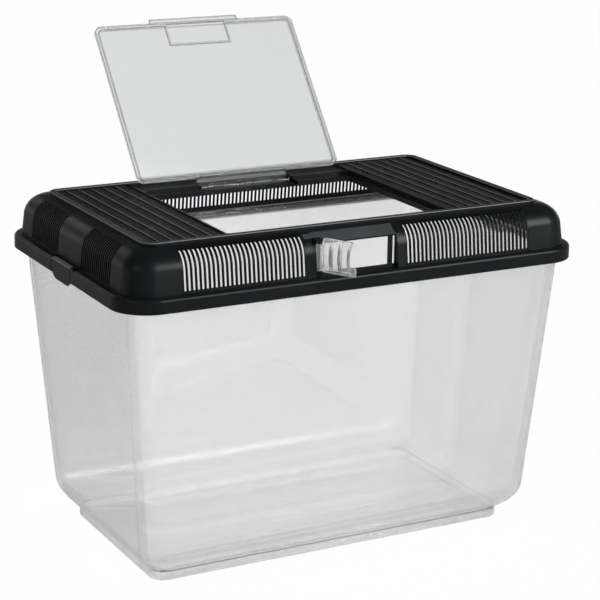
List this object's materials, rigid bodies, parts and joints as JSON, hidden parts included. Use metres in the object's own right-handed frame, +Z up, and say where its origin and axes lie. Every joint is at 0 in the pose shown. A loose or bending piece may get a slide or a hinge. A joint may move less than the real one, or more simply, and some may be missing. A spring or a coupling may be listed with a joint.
{
  "type": "plastic pet keeper",
  "caption": "Clear plastic pet keeper tank with a black vented lid, a clear trapdoor standing open and a clear front latch swung out.",
  "frame": {"origin": "centre of the underside of the tank's foot, on the surface it stands on", "axes": "+X along the long side to the right, +Y to the back where the trapdoor's hinge is, +Z up"},
  "size_m": [0.414, 0.3414, 0.4115],
  "materials": {
    "clear_plastic": "clear, polished",
    "black_plastic": "satin black"
  },
  "bodies": {
    "tank": {"tank": "clear_plastic"},
    "lid": {"lid_flange": "black_plastic", "lid_dome": "black_plastic", "lid_top": "black_plastic", "front_grille_left": "black_plastic", "front_grille_right": "black_plastic", "rear_grille": "black_plastic", "left_grille_front": "black_plastic", "left_grille_rear": "black_plastic", "right_grille_front": "black_plastic", "right_grille_rear": "black_plastic", "left_top_panel": "black_plastic", "right_top_panel": "black_plastic"},
    "trapdoor": {"trapdoor": "clear_plastic"},
    "front_latch": {"front_latch": "clear_plastic"},
    "left_side_latch": {"left_side_latch": "black_plastic"},
    "right_side_latch": {"right_side_latch": "black_plastic"}
  },
  "joints": [
    {"name": "lid_lift", "type": "slide", "parent": "tank", "child": "lid", "axis": [0, 0, 1], "range_m": [0, 0.1]},
    {"name": "trapdoor_hinge", "type": "hinge", "parent": "lid", "child": "trapdoor", "pos_m": [-0.005, 0.0772, 0.2805], "axis": [1, 0, 0], "range_deg": [0, 128.8]},
    {"name": "front_latch_hinge", "type": "hinge", "parent": "lid", "child": "front_latch", "pos_m": [-0.0395, -0.1225, 0.2655], "axis": [0, 0, 1], "range_deg": [-28.5, 61.5]},
    {"name": "left_latch_hinge", "type": "hinge", "parent": "lid", "child": "left_side_latch", "pos_m": [-0.2038, 0, 0.2493], "axis": [0, 1, 0], "range_deg": [0, 90]},
    {"name": "right_latch_hinge", "type": "hinge", "parent": "lid", "child": "right_side_latch", "pos_m": [0.2038, 0, 0.2493], "axis": [0, -1, 0], "range_deg": [0, 90]}
  ]
}
